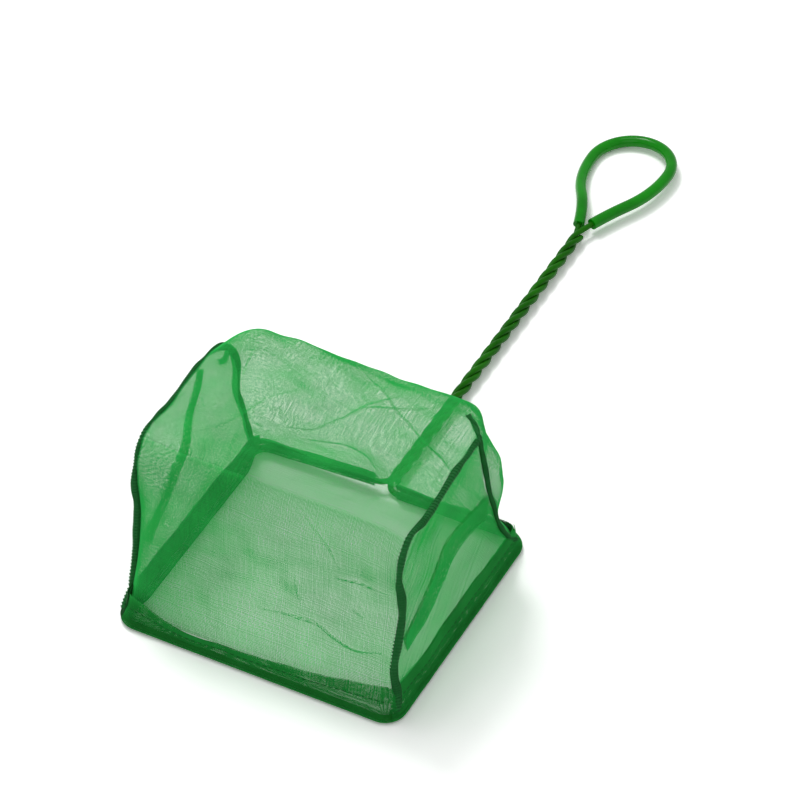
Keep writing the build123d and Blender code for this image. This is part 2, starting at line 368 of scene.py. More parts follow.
@dataclass(frozen=True)
class ThreadFinish:
    """Dyed nylon thread: shade drifts over the cloth, with a fine fibre grain."""

    name: str
    dark: tuple[float, float, float]
    light: tuple[float, float, float]
    drift: float
    grain: float = 2600.0
    grain_share: float = 0.35
    stops: tuple[float, float] = (0.3, 0.7)
    roughness: float = 0.6
    rough_spread: float = 0.12
    shine: float = 0.15
    relief: float = 0.25
    relief_depth: float = 0.00005

    def tint(self, sheet: NodeSheet, shade: bpy.types.NodeSocket) -> bpy.types.NodeSocket:
        """Colour the thread by a shade that drifts between 0 and 1."""
        return sheet.ramp(shade, list(zip(self.stops, (self.dark, self.light))))

    def material(self) -> bpy.types.Material:
        """Build the material.

        Returns:
            The node material.
        """
        sheet = NodeSheet(self.name)
        grain = sheet.noise(self.grain, detail=2.0)
        shade = sheet.add("Mix", data_type="FLOAT", Factor=self.grain_share)
        sheet.link(sheet.noise(self.drift, detail=3.0, roughness=0.6), shade.inputs["A"])
        sheet.link(grain, shade.inputs["B"])
        shader = sheet.add("BsdfPrincipled", Specular_IOR_Level=self.shine)
        sheet.link(self.tint(sheet, shade.outputs["Result"]), shader.inputs["Base Color"])
        rough = sheet.stretch(grain, self.roughness - self.rough_spread, self.roughness + self.rough_spread)
        sheet.link(rough, shader.inputs["Roughness"])
        return sheet.surface(shader, grain, self.relief, self.relief_depth)


@dataclass(frozen=True)
class HemFinish(ThreadFinish):
    """Net folded double: darker where it lies close round the wire, lighter on the free fin above.

    The two heights, in metres, are where the casing ends and where the fin begins.
    """

    fin_dark: tuple[float, float, float] = (0.018, 0.36, 0.055)
    fin_light: tuple[float, float, float] = (0.032, 0.5, 0.085)
    wrapped_to: float = 0.0038
    free_from: float = 0.0062

    def tint(self, sheet: NodeSheet, shade: bpy.types.NodeSocket) -> bpy.types.NodeSocket:
        """Colour the casing and the fin by height above the floor.

        Args:
            sheet: The material's nodes.
            shade: A value that drifts between 0 and 1.

        Returns:
            The colour output.
        """
        split = sheet.add("SeparateXYZ")
        sheet.link(sheet.place, split.inputs["Vector"])
        rise = sheet.add("MapRange", interpolation_type="SMOOTHSTEP")
        rise.inputs["From Min"].default_value = self.wrapped_to
        rise.inputs["From Max"].default_value = self.free_from
        sheet.link(split.outputs["Z"], rise.inputs["Value"])
        fin = sheet.ramp(shade, list(zip(self.stops, (self.fin_dark, self.fin_light))))
        return sheet.blend(rise.outputs["Result"], super().tint(sheet, shade), fin)


@dataclass(frozen=True)
class CoatedFinish:
    """A plastic coat on wire: extrusion ripple, cloudy dye and scuffs that dull the gloss."""

    name: str
    dark: tuple[float, float, float]
    light: tuple[float, float, float]
    worn: tuple[float, float, float]
    gloss: float
    dull: float
    coat: float
    ripple: float
    shine: float = 0.06
    coat_rough: float = 0.06
    ior: float = 1.52
    scuffed: float = 0.3
    relief: float = 0.3
    stops: tuple[float, float] = (0.32, 0.68)
    scuff_stops: tuple[float, float] = (0.62, 0.78)

    def material(self) -> bpy.types.Material:
        """Build the material.

        Returns:
            The node material.
        """
        sheet = NodeSheet(self.name)
        cloud = sheet.noise(70.0, detail=4.0, roughness=0.55)
        scuff = sheet.noise(900.0, detail=3.0, roughness=0.7)
        waves = sheet.noise(260.0, detail=1.0, roughness=0.4)
        colour = sheet.ramp(cloud, list(zip(self.stops, (self.dark, self.light))))
        marks = sheet.ramp(scuff, list(zip(self.scuff_stops, ((0, 0, 0), (1, 1, 1)))))
        worn = sheet.add("RGB").outputs["Color"]
        worn.default_value = (*self.worn, 1.0)
        shader = sheet.add(
            "BsdfPrincipled",
            Coat_Weight=self.coat,
            Coat_Roughness=self.coat_rough,
            Specular_IOR_Level=self.shine,
            IOR=self.ior,
        )
        colour_or_painted_shade = sheet.blend(sheet.stretch(marks, 0.0, self.scuffed), colour, worn)
        sheet.link(colour_or_painted_shade, shader.inputs["Base Color"])
        sheet.link(sheet.stretch(scuff, self.gloss, self.dull), shader.inputs["Roughness"])
        return sheet.surface(shader, waves, self.relief, self.ripple)


NET = ThreadFinish("net_nylon", (0.03, 0.58, 0.11), (0.055, 0.78, 0.16), drift=38.0)
HEM = HemFinish("hem_nylon", (0.012, 0.27, 0.035), (0.022, 0.39, 0.06), drift=60.0)
# The same hem cloth made darker for the rear and left casings: painted shade.
PAINTED_SHADE_HEM = HemFinish(
    "hem_nylon_painted_shade", (0.004, 0.085, 0.012), (0.008, 0.13, 0.021), drift=60.0,
    fin_dark=(0.005, 0.105, 0.015), fin_light=(0.01, 0.165, 0.027),
)
SEWING = ThreadFinish("sewing_nylon", (0.006, 0.10, 0.018), (0.014, 0.17, 0.035), drift=120.0, grain=2200.0)
PVC = CoatedFinish(
    "pvc_coat", (0.008, 0.105, 0.002), (0.016, 0.165, 0.004), (0.03, 0.2, 0.015),
    gloss=0.25, dull=0.45, coat=0.0, ripple=0.00012,
)
VINYL = CoatedFinish(
    "vinyl_tube", (0.002, 0.20, 0.001), (0.005, 0.30, 0.003), (0.01, 0.3, 0.01),
    gloss=0.04, dull=0.08, coat=0.2, ripple=0.00015,
)


@dataclass
class ThreadWork:
    """Threads collected as closed tubes, to make one mesh."""

    name: str
    sides: int = 3
    verts: list[np.ndarray] = field(default_factory=list)
    faces: list[list[int]] = field(default_factory=list)
    count: int = 0

    def lay(self, points: np.ndarray, normals: np.ndarray, radius: np.ndarray | float) -> None:
        """Add one thread.

        Args:
            points: Its line in the row frame, (n, 3).
            normals: A direction off the line at each point, (n, 3) or (3,).
            radius: Its radius in metres, one or one for each point.
        """
        n, k = len(points), self.sides
        run = unit(np.gradient(points, axis=0))
        side = unit(np.cross(run, np.broadcast_to(normals, points.shape)))
        up = np.cross(side, run)
        turn = np.arange(k) * 2 * math.pi / k + math.pi / 2
        ring = np.cos(turn)[None, :, None] * side[:, None] + np.sin(turn)[None, :, None] * up[:, None]
        reach = np.broadcast_to(np.asarray(radius, float), (n,))[:, None, None]
        self.verts.append((points[:, None] + ring * reach).reshape(-1, 3))
        here = self.count + np.arange(n - 1)[:, None] * k + np.arange(k)[None]
        there = self.count + np.arange(n - 1)[:, None] * k + (np.arange(k)[None] + 1) % k
        quads = np.stack([here, here + k, there + k, there], axis=-1).reshape(-1, 4)
        self.faces += quads.tolist()
        self.faces.append(list(range(self.count, self.count + k)))
        last = self.count + (n - 1) * k
        self.faces.append(list(range(last + k - 1, last - 1, -1)))
        self.count += n * k

    def make(self, material: bpy.types.Material) -> bpy.types.Object:
        """Make the mesh object.

        Args:
            material: Its material.

        Returns:
            The object, linked to the scene.
        """
        mesh = bpy.data.meshes.new(self.name)
        mesh.from_pydata(np.concatenate(self.verts).tolist(), [], self.faces)
        mesh.polygons.foreach_set("use_smooth", np.ones(len(mesh.polygons), bool))
        mesh.materials.append(material)
        made = bpy.data.objects.new(self.name, mesh)
        bpy.context.scene.collection.objects.link(made)
        return made


@dataclass(frozen=True)
class Weave:
    """How a net is knitted, in millimetres.

    A bias is the angle, in radians, at which threads cross the cloth. Without one they run along its sides.
    """

    pitch: float
    radius: float
    step: float
    uneven: float = 0.38
    sway: float = 0.12
    sway_size: float = 9.0
    calm: float = 8.0
    bias: float = 0.0
    crossing: float = 0.8
    shortest: float = 1.0
    seed: int = 41
    bias_seed: int = 7

    def lift(self, over: bool) -> float:
        """Say how far a thread stands off the cloth's middle where it crosses another, in metres."""
        return self.radius * MM * (self.crossing if over else -self.crossing)

    def spread(self, count: int, seed: int) -> np.ndarray:
        """Space threads a little unevenly, as knitted ones are.

        Args:
            count: How many threads there are.
            seed: Which spacing to take.

        Returns:
            Places between 0 and 1.
        """
        shift = self.uneven * np.random.default_rng(self.seed + seed).uniform(-1, 1, count)
        return (np.arange(count) + 0.5 + shift) / count

    def hatch(self, edge: np.ndarray) -> list[tuple[int, np.ndarray]]:
        """Fill a flat outline with threads on the bias.

        Args:
            edge: The outline's corners in millimetres, (n, 2), with the first again at the end.

        Returns:
            For each thread its family, 0 or 1, and its points.
        """
        threads = []
        for family in (0, 1):
            turn = self.bias + family * math.pi / 2
            run = np.array([math.cos(turn), math.sin(turn)])
            side = np.array([-run[1], run[0]])
            level, along = edge @ side, edge @ run
            span = np.ptp(level)
            for place in level.min() + span * self.spread(round(span / self.pitch), self.bias_seed + family):
                off = level - place
                hit = np.nonzero(off[:-1] * off[1:] < 0)[0]
                gap = along[hit + 1] - along[hit]
                ends = np.sort(along[hit] + gap * off[hit] / (off[hit] - off[hit + 1]))
                for first, last in zip(ends[::2], ends[1::2]):
                    if last - first > self.shortest:
                        s = np.linspace(first, last, max(3, round((last - first) / self.step)))[:, None]
                        threads.append((family, s * run + place * side))
        return threads


FRONT_WEAVE = Weave(pitch=0.52, radius=0.11, step=1.8, uneven=0.13)
FLOOR_WEAVE = Weave(pitch=0.45, radius=0.067, step=1.8, uneven=0.2)
BACK_WEAVE = Weave(pitch=0.4, radius=0.06, step=1.8, uneven=0.3, bias=0.5)
GUSSET_WEAVE = Weave(pitch=0.52, radius=0.08, step=1.8, uneven=0.2, bias=0.62)
GATHER_WEAVE = Weave(pitch=0.26, radius=0.085, step=1.6)
PLEAT_WEAVE = Weave(pitch=0.5, radius=0.075, step=2.2)
HEM_WEAVE = Weave(pitch=0.38, radius=0.084, step=1.4, uneven=0.12, sway=0.02)


class Surface:
    """A cloth surface over two parameters from 0 to 1."""

    def at(self, u: np.ndarray, v: np.ndarray) -> np.ndarray:
        """Read the surface.

        Args:
            u: First parameter.
            v: Second parameter.

        Returns:
            Points in the row frame.
        """
        raise NotImplementedError

    def normal(self, u: np.ndarray, v: np.ndarray) -> np.ndarray:
        """Read the surface's normal.

        Args:
            u: First parameter.
            v: Second parameter.

        Returns:
            Directions of length one.
        """
        nudge = 2e-3
        du = self.at(np.clip(u + nudge, 0, 1), v) - self.at(np.clip(u - nudge, 0, 1), v)
        dv = self.at(u, np.clip(v + nudge, 0, 1)) - self.at(u, np.clip(v - nudge, 0, 1))
        return unit(np.cross(du, dv))

    def size(self) -> tuple[float, float]:
        """Measure the surface through its middle.

        Returns:
            Its length along u and along v, in millimetres.
        """
        run = np.linspace(0, 1, 400)
        half = np.full_like(run, 0.5)
        lengths = []
        for line in (self.at(run, half), self.at(half, run)):
            lengths.append(np.linalg.norm(np.diff(line, axis=0), axis=1).sum() / MM)
        return lengths[0], lengths[1]

    def thread(self, work: ThreadWork, weave: Weave, u: np.ndarray, v: np.ndarray, over: bool) -> None:
        """Lay threads along lines on the surface.

        Args:
            work: Where the threads go.
            weave: How thick they are.
            u: First parameter, (threads, points).
            v: Second parameter, (threads, points).
            over: Whether they lie over the threads that they cross.
        """
        normals = self.normal(u, v)
        points = self.at(u, v) + normals * weave.lift(over)
        for point, normal in zip(points, normals):
            work.lay(point, normal, weave.radius * MM)

    def knit(self, work: ThreadWork, weave: Weave, columns: int = 0) -> tuple[float, float]:
        """Cover the surface with crossing threads.

        Args:
            work: Where the threads go.
            weave: How close and thick they are.
            columns: How many threads run along v, or 0 to count them from the width.

        Returns:
            The cloth's two sizes in metres.
        """
        wide, long = self.size()
        if weave.bias:
            edge = np.array([(0, 0), (wide, 0), (wide, long), (0, long), (0, 0)], float)
            for family, flat in weave.hatch(edge):
                u, v = np.clip(flat / [wide, long], 0, 1).T[:, None]
                self.thread(work, weave, u, v, bool(family))
            return wide * MM, long * MM
        sway = Ripple(weave.sway_size, weave.sway, weave.seed)
        for family, run in enumerate(Run):
            along = run is Run.ALONG
            over, reach = (wide, long) if along else (long, wide)
            count = columns if along and columns else max(3, round(over / weave.pitch))
            line = np.linspace(0, 1, max(4, round(reach / weave.step)))
            still, line = np.broadcast_arrays(weave.spread(count, family)[:, None], line[None])
            calm = ease_ends(line, weave.calm) * ease_ends(still, weave.calm)
            still = still + calm * sway.at(line * reach, still * over) / over
            u, v = (still, line) if along else (line, still)
            self.thread(work, weave, u, v, along)
        return wide * MM, long * MM


@dataclass
class SeamLine:
    """One side seam of the bag, from the front foot over the top to the rear foot, in millimetres."""

    points: list[tuple[float, float, float]]
    front_fold: int
    rear_fold: int
    knots: np.ndarray = field(init=False)

    def __post_init__(self) -> None:
        """Number the points so that each fold has a whole number."""
        runs = runs_along(np.array(self.points))
        stops = [0, self.front_fold, self.rear_fold, len(runs) - 1]
        self.knots = np.interp(runs, runs[stops], [0, 1, 2, SEAM_END])

    def at(self, t: np.ndarray) -> np.ndarray:
        """Read the seam: 0 at the front hem, 1 and 2 at the folds, SEAM_END at the rear hem."""
        return hermite(self.knots, np.array(self.points), t)


SEAMS = {
    Side.LEFT: SeamLine(
        [
            (-62.8, 11.0, 11.2), (-63.1, 16.7, 21.0), (-63.6, 20.2, 35.0), (-63.9, 22.2, 47.0),
            (-64.5, 20.9, 65.0), (-64.8, 22.9, 74.3), (-65.0, 28.6, 80.5), (-65.0, 38.5, 81.7),
            (-64.9, 50.5, 80.1), (-65.0, 63.1, 81.4), (-65.0, 75.6, 81.7), (-64.9, 86.3, 80.3),
            (-64.8, 95.1, 75.6), (-64.5, 101.9, 66.9), (-64.3, 104.3, 57.8), (-64.0, 102.4, 48.1),
            (-63.4, 106.7, 30.6), (-62.9, 111.2, 11.6),
        ],
        front_fold=6,
        rear_fold=12,
    ),
    Side.RIGHT: SeamLine(
        [
            (62.0, 6.6, 11.2), (61.1, 5.4, 29.2), (60.7, 9.2, 36.6), (60.2, 13.6, 46.6),
            (59.7, 14.6, 56.8), (59.1, 13.4, 68.9), (58.7, 17.5, 78.7), (58.5, 22.0, 82.3),
            (58.5, 36.6, 81.3), (58.5, 49.6, 82.7), (58.5, 62.7, 85.0), (58.5, 74.2, 84.9),
            (58.5, 84.0, 84.4), (58.8, 86.3, 76.5), (59.4, 89.0, 63.4), (60.1, 91.7, 49.1),
            (60.6, 94.7, 39.9), (61.0, 96.9, 31.3), (61.5, 101.7, 20.5), (61.9, 107.2, 11.6),
        ],
        front_fold=7,
        rear_fold=12,
    ),
}

FRONT_CREASES = (
    Crease(((62.6, 19.9), (73.8, 21.6), (88.2, 22.2), (95.5, 19.6), (105.0, 17.5), (116.9, 20.1)), 0.5, 1.1),
    Crease(((76.0, 42.3), (77.5, 33.9), (79.2, 28.1)), 0.35, 0.6),
    Crease(((93.5, 46.7), (103.0, 48.1), (109.9, 48.9), (118.1, 48.9)), 0.4, 0.8),
    Crease(((102.3, 36.2), (108.1, 34.0)), 0.3, 0.6),
    Crease(((77.7, 70.6), (90.9, 59.6), (96.0, 51.7)), 0.3, 0.55),
)
FLOOR_CREASES = (
    Crease(
        ((106.9, 150.0), (92.8, 140.7), (77.0, 133.5), (70.4, 126.7), (62.9, 119.4), (52.9, 115.6)), 0.5, 0.9
    ),
    Crease(((87.4, 146.1), (78.4, 136.9), (70.9, 127.7)), 0.4, 0.7),
    Crease(((19.3, 149.1), (21.2, 137.6), (23.9, 128.6)), 0.4, 0.7),
    Crease(((18.3, 88.7), (32.2, 108.9), (38.7, 123.5), (47.5, 132.5)), 0.35, 0.6),
)
BACK_CREASES = (
    Crease(
        ((59.9, 161.2), (70.2, 180.5), (81.8, 195.5), (92.3, 207.5), (98.7, 216.2), (103.8, 224.0)), 0.5, 1.0
    ),
    Crease(((24.9, 224.2), (44.3, 219.1), (54.1, 220.8), (59.9, 229.0)), 0.4, 0.7),
)


@dataclass
class NetPanel(Surface):
    """One panel of the strip between the two seams: it puffs out between them and carries creases.

    The middle rows give t, then y and z of the strip's middle in millimetres. The edge rows give t, then how
    steeply the strip rises from the left and from the right seam to that middle. The flare rows give t, then
    how far the strip stands out past the right seam. The waves calm down towards the hems, and their side
    turns from forwards to backwards over the top. Gathered threads draw together and thin to a crease's ends.
    """

    name: str
    span: tuple[float, float]
    creases: tuple[Crease, ...]
    middle: tuple[tuple[float, float, float], ...] = (
        (0.0, 2.8, 5.6), (0.25, 8.6, 28.5), (0.5, 13.6, 46.6), (0.75, 16.6, 66.0), (1.0, 23.5, 84.0),
        (1.25, 38.0, 86.8), (1.5, 55.0, 87.6), (1.75, 77.0, 89.4), (1.9, 90.5, 89.8), (1.97, 97.0, 89.3),
        (2.0, 99.6, 88.4), (2.03, 100.8, 86.4), (2.09, 101.8, 83.0), (2.25, 104.0, 73.0),
        (2.5, 107.0, 53.0), (2.75, 110.8, 31.0), (2.95, 115.1, 12.0), (3.0, 116.4, 7.0),
    )
    edges: tuple[tuple[float, float, float], ...] = (
        (0.0, 24.0, 24.0), (0.3, 9.0, 9.0), (1.0, 6.5, 7.0), (1.8, 7.0, 13.0), (2.0, 7.0, 17.0),
        (2.25, 8.0, 16.0), (2.42, 8.0, 24.0), (2.55, 8.0, 24.0), (2.68, 8.0, 9.0), (2.8, 9.0, 6.0),
        (2.92, 12.0, 9.0), (3.0, 24.0, 24.0),
    )
    flare: tuple[tuple[float, float], ...] = ((2.2, 0.0), (2.42, 4.8), (2.58, 4.8), (2.8, 0.0))
    flare_power: int = 10
    waves: tuple[Ripple, ...] = (Ripple(34.0, 0.7, 5), Ripple(13.0, 0.28, 6))
    edge_calm: float = 5.0
    turn_from: float = 0.55
    turn_over: float = 1.9
    least_up: float = 0.1
    swell: float = 3.0
    pinch: float = 0.3
    thin: float = 0.35
    margin: float = 0.01
    proud: float = 0.1

    def at(self, u: np.ndarray, v: np.ndarray) -> np.ndarray:
        """Read the panel.

        Args:
            u: 0 at the left seam, 1 at the right one.
            v: 0 at the panel's start, 1 at its end.

        Returns:
            Points in the row frame.
        """
        u, v = together(u, v)
        t = self.span[0] + (self.span[1] - self.span[0]) * v
        left, right = SEAMS[Side.LEFT].at(t), SEAMS[Side.RIGHT].at(t)
        base = left + (right - left) * u[..., None]
        knots, from_left, from_right = np.array(self.edges).T
        power = np.interp(t, knots, from_left) * (1 - u) + np.interp(t, knots, from_right) * u
        puff = 1 - np.abs(2 * u - 1) ** power
        table = np.array(self.middle)
        base[..., 1:] += (hermite(table[:, 0], table[:, 1:], t) - base[..., 1:]) * puff[..., None]
        base[..., 0] += np.interp(t, *np.array(self.flare).T) * u ** self.flare_power * np.sqrt(puff)
        a, b = STRIP_WIDE * u, STRIP_PANEL * t
        still = smoothstep(np.minimum(t, SEAM_END - t) * self.edge_calm)
        wave = sum(ripple.at(a, b) for ripple in self.waves) + sum(crease.at(a, b) for crease in self.creases)
        lean = np.pi * (0.5 - np.clip((t - self.turn_from) / self.turn_over, 0, 1))
        out = np.stack([np.zeros_like(t), -np.sin(lean), np.maximum(np.cos(lean), self.least_up)], axis=-1)
        return to_frame(base + out * (wave * puff * still)[..., None])

    def gather(self, work: ThreadWork, weave: Weave) -> None:
        """Draw threads together along each crease.

        Args:
            work: Where the threads go.
            weave: How close and thick they are.
        """
        for crease in self.creases:
            path = np.array(crease.path)
            runs = runs_along(path)
            line = np.linspace(0, runs[-1], max(6, round(runs[-1] / weave.step)))
            spine = hermite(runs, path, line)
            ahead = unit(np.gradient(spine, axis=0))
            swell = ease_ends(line / runs[-1], self.swell)
            spread = self.pinch + (1 - self.pinch) * swell
            radius = weave.radius * MM * (self.thin + (1 - self.thin) * swell)
            count = max(2, round(crease.width / weave.pitch))
            for place in np.linspace(-0.5, 0.5, count) * crease.width:
                a = spine[:, 0] - ahead[:, 1] * place * spread
                b = spine[:, 1] + ahead[:, 0] * place * spread
                v = (b / STRIP_PANEL - self.span[0]) / (self.span[1] - self.span[0])
                u, v = (np.clip(share, self.margin, 1 - self.margin) for share in (a / STRIP_WIDE, v))
                normals = self.normal(u, v)
                work.lay(self.at(u, v) + normals * self.proud * MM, normals, radius)


@dataclass
class Gusset:
    """A flat side panel that hangs inside one seam, in millimetres.

    The lean is how far it shifts in x over the lean height. The belly gives where its sag starts and how far
    that reaches, in y and in z.
    """

    side: Side
    lean: float
    weave: Weave = GUSSET_WEAVE
    half: float = 62.3
    lean_height: float = 80.0
    foot: float = 8.5
    sag: float = 2.2
    belly: tuple[tuple[float, float], tuple[float, float]] = ((5.0, 105.0), (8.0, 76.0))
    waves: Ripple = Ripple(26.0, 0.6, 11)

    def outline(self) -> np.ndarray:
        """Trace the seam that bounds the panel, as points (y, z)."""
        return SEAMS[self.side].at(np.linspace(0, SEAM_END, 700))[:, 1:]

    def closed(self) -> np.ndarray:
        """Close the outline along the panel's foot, with its first point again at the end."""
        edge = self.outline()
        return np.concatenate([edge, [(edge[-1, 0], self.foot), (edge[0, 0], self.foot)], edge[:1]])

    def area(self) -> float:
        """Measure the panel as it is cut, in square metres."""
        y, z = self.closed().T
        return float(abs(np.dot(y[1:], z[:-1]) - np.dot(z[1:], y[:-1])) / 2 * MM * MM)

    def at(self, y: np.ndarray, z: np.ndarray) -> np.ndarray:
        """Read the panel.

        Args:
            y: Millimetres back from the front wire.
            z: Millimetres up.

        Returns:
            Points in the row frame.
        """
        y, z = together(y, z)
        inside = 1.0
        for place, (first, reach) in zip((y, z), self.belly):
            inside = inside * np.sin(np.pi * np.clip((place - first) / reach, 0, 1))
        wave = self.waves.at(y, z) * np.sqrt(np.clip(inside, 0, 1))
        x = self.half * self.side.value + self.lean * z / self.lean_height
        x = x - self.side.value * (self.sag * inside - wave)
        return to_frame(np.stack([x, y, z], axis=-1))

    def knit(self, work: ThreadWork) -> None:
        """Cover the panel with threads on the bias, up to its edge.

        Args:
            work: Where the threads go.
        """
        face = np.array([self.side.value, 0.0, 0.0])
        for family, points in self.weave.hatch(self.closed()):
            lifted = self.at(points[:, 0], points[:, 1]) + face * self.weave.lift(bool(family))
            work.lay(lifted, face, self.weave.radius * MM)


@dataclass
class Pleat(Surface):
    """A tuck of spare net that lies flat against a gusset, two layers deep.

    The path's rows give y, z and the tuck's width there, in millimetres.
    """

    gusset: Gusset
    path: tuple[tuple[float, float, float], ...]
    stand: float = 0.75
    gap: float = 0.45

    def at(self, u: np.ndarray, v: np.ndarray) -> np.ndarray:
        """Read the tuck.

        Args:
            u: 0 to 1 across both layers, folded at 0.5.
            v: 0 to 1 from its top to its foot.

        Returns:
            Points in the row frame.
        """
        u, v = together(u, v)
        table = np.array(self.path)
        knots, fine = np.linspace(0, 1, len(table)), np.linspace(0, 1, 50)
        centre = hermite(knots, table[:, :2], v)
        width = np.interp(v, knots, table[:, 2])
        slope = read_line(fine, unit(np.gradient(hermite(knots, table[:, :2], fine), axis=0)), v)
        across = (0.5 - np.abs(2 * u - 1)) * width
        y = centre[..., 0] - slope[..., 1] * across
        z = centre[..., 1] + slope[..., 0] * across
        points = self.gusset.at(y, z)
        points[..., 0] += self.gusset.side.value * (self.stand + self.gap * np.sin(np.pi * (u - 0.5))) * MM
        return points


@dataclass
class Hem(Surface):
    """A casing of net folded round the wire and half round each corner, sewn shut above the wire.

    The turns are the corner angles at its two ends, and the tops give shares along the casing and the height
    of its fin there, in millimetres. The fin is its height before that, and round_fold the whole length round
    the fold. The slack is how much looser than the wire the inner side lies. It fades to its ends and top.
    """

    name: str
    start: tuple[float, float, float]
    end: tuple[float, float, float]
    outward: tuple[float, float, float]
    lean: float
    tops: tuple[tuple[float, float], ...]
    turns: tuple[float, float] = (HALF_CORNER, HALF_CORNER)
    corner: float = CORNER
    wrap_r: float = 1.98
    flat: float = -1.72
    ground: float = 0.16
    sewn_at: float = 5.0
    grip: float = 2.0
    fin: float = 9.0
    round_fold: float = 27.0
    layer: float = 0.42
    slack: float = 0.0
    slack_ends: float = 7.0
    slack_top: float = 7.0
    slack_over: float = 5.0
    loose_from: float = -1.0
    loose_over: float = 4.0
    tight: float = 0.4
    pucker: Ripple = Ripple(8.0, 0.05, 21)
    pucker_rise: float = 1.5
    sway: Ripple = Ripple(30.0, 0.2, 22)
    edge: Ripple = Ripple(14.0, 0.35, 23)
    stitch: float = 2.0
    stitch_pitch: float = 3.0
    stitch_arch: float = 0.22
    stitch_lift: float = 0.02
    stitch_r: float = 0.16
    stitch_taper: float = 0.35

    def spine(self, v: np.ndarray) -> tuple[np.ndarray, np.ndarray, float]:
        """Follow the wire through the casing.

        Args:
            v: 0 to 1 along the casing.

        Returns:
            Points on the wire, the outward direction there, and the whole length in millimetres.
        """
        first, span = np.array(self.start), np.array(self.end) - np.array(self.start)
        length = float(np.linalg.norm(span))
        run, out = span / length, np.array(self.outward)
        near, far = (turn * self.corner for turn in self.turns)
        s = np.asarray(v, float) * (near + length + far) - near
        turn = (np.minimum(s, 0) + np.maximum(s - length, 0)) / self.corner
        hub = first + run * np.clip(s, 0, length)[..., None] - out * self.corner
        facing = out * np.cos(turn)[..., None] + run * np.sin(turn)[..., None]
        return hub + facing * self.corner, facing, near + length + far

    def section(self, s: np.ndarray) -> np.ndarray:
        """Read the fold's outline, a teardrop round the wire.

        Args:
            s: 0 at the outer layer's top, 1 at the inner layer's top.

        Returns:
            Outward and upward offsets in millimetres, before the fin gets its own height.
        """
        reach = math.hypot(self.layer, self.sewn_at)
        dip = math.acos(self.wrap_r / reach) - math.atan2(self.layer, self.sewn_at)
        first = math.pi / 2 - dip
        turn = np.linspace(first, -math.pi - first, 40)
        wrap = np.stack([np.cos(turn), np.sin(turn)], axis=-1) * self.wrap_r
        outer = np.array([[self.layer, self.fin], [self.layer, self.sewn_at]])
        line = np.concatenate([outer, wrap, outer[::-1] * [-1, 1]])
        runs = runs_along(line)
        return read_line(runs, line, s * runs[-1])

    def at(self, u: np.ndarray, v: np.ndarray) -> np.ndarray:
        """Read the casing.

        Args:
            u: 0 to 1 round the fold.
            v: 0 to 1 along the wire.

        Returns:
            Points in the row frame.
        """
        u, v = together(u, v)
        wire, facing, length = self.spine(v)
        p, q = np.moveaxis(self.section(u), -1, 0)
        ease = self.slack * ease_ends(v, self.slack_ends) * smoothstep((self.slack_top - q) / self.slack_over)
        p = np.where(p < 0, p * (1 + ease), p)
        table = np.array(self.tops)
        top = hermite(table[:, 0], table[:, 1:], v)[..., 0] + self.edge.at(v * length)
        top = (top - wire[..., 2]) / math.cos(self.lean)
        q = np.maximum(q, self.flat)
        grip = self.grip
        q = np.where(q > grip, grip + (q - grip) * (top - grip) / (self.fin - grip), q)
        loose = smoothstep((q - self.loose_from) / self.loose_over)
        p = p + self.pucker.at(v * length, q * self.pucker_rise) * (self.tight + (1 - self.tight) * loose)
        p = p + self.sway.at(v * length) * loose * (q > grip)
        out = facing * math.cos(self.lean) + UP * math.sin(self.lean)
        up = UP * math.cos(self.lean) - facing * math.sin(self.lean)
        points = wire + out * p[..., None] + up * q[..., None]
        points[..., 2] = np.maximum(points[..., 2], self.ground)
        return to_frame(points)

    def stitches(self, work: ThreadWork) -> None:
        """Sew a row of lockstitches on the outer face.

        Args:
            work: Where the threads go.
        """
        whole = self.spine(np.zeros(1))[2]
        count = int((whole - self.stitch) // self.stitch_pitch)
        first = (whole - (count - 1) * self.stitch_pitch) / 2
        bend = np.linspace(-1, 1, 7)
        row = np.full_like(bend, (self.fin - self.sewn_at) / self.round_fold)
        arch = self.stitch_arch * (1 - bend ** 4) + self.stitch_lift
        radius = self.stitch_r * MM * (1 - self.stitch_taper * bend ** 4)
        for k in range(count):
            v = (first + k * self.stitch_pitch + bend * self.stitch / 2) / whole
            base = self.at(row, v) + self.spine(v)[1] * (arch * MM)[:, None]
            work.lay(base, UP, radius)


@dataclass
class RopeSeam:
    """An overlocked seam: rolled net edges with a thread wound round them, in millimetres.

    The girths give shares along the seam and the radius of its core there.
    """

    name: str
    girths: tuple[tuple[float, float], ...]
    core_step: float = 1.2
    wrap: float = 0.3
    lay: float = 1.5
    lay_points: int = 10
    bed: float = 0.05
    wobble: float = 4.0
    lumps: Ripple = Ripple(14.0, 0.17, 31)

    def girth(self, share: np.ndarray, along: np.ndarray) -> np.ndarray:
        """Read the core's radius, lumps and all, by its share of the seam and the length along the path."""
        return np.interp(share, *np.array(self.girths).T) + self.lumps.at(along)

    def wind(self, work: ThreadWork, path: np.ndarray, first: float = 0.0, last: float = 1.0) -> None:
        """Lay the core and the winding along a path.

        Args:
            work: Where they go.
            path: The seam's centreline in the row frame, (n, 3).
            first: The share along the seam where the path begins.
            last: The share where it ends.
        """
        runs = runs_along(path) / MM
        whole = runs[-1]
        axis = np.array([1.0, 0.0, 0.0])
        rough = np.linspace(0, whole, max(4, int(whole / self.core_step)))
        core = self.girth(first + (last - first) * rough / whole, rough)
        work.lay(read_line(runs, path, rough), axis, core * MM)
        fine = np.linspace(0, whole, int(whole / self.lay * self.lay_points))
        centre = read_line(runs, path, fine)
        over = unit(np.cross(unit(np.gradient(centre, axis=0)), axis))
        turn = 2 * np.pi * fine / self.lay + self.lumps.at(fine) * self.wobble
        reach = (self.girth(first + (last - first) * fine / whole, fine) + self.bed) * MM
        off = axis * np.cos(turn)[:, None] + over * np.sin(turn)[:, None]
        work.lay(centre + off * reach[:, None], off, self.wrap * MM)


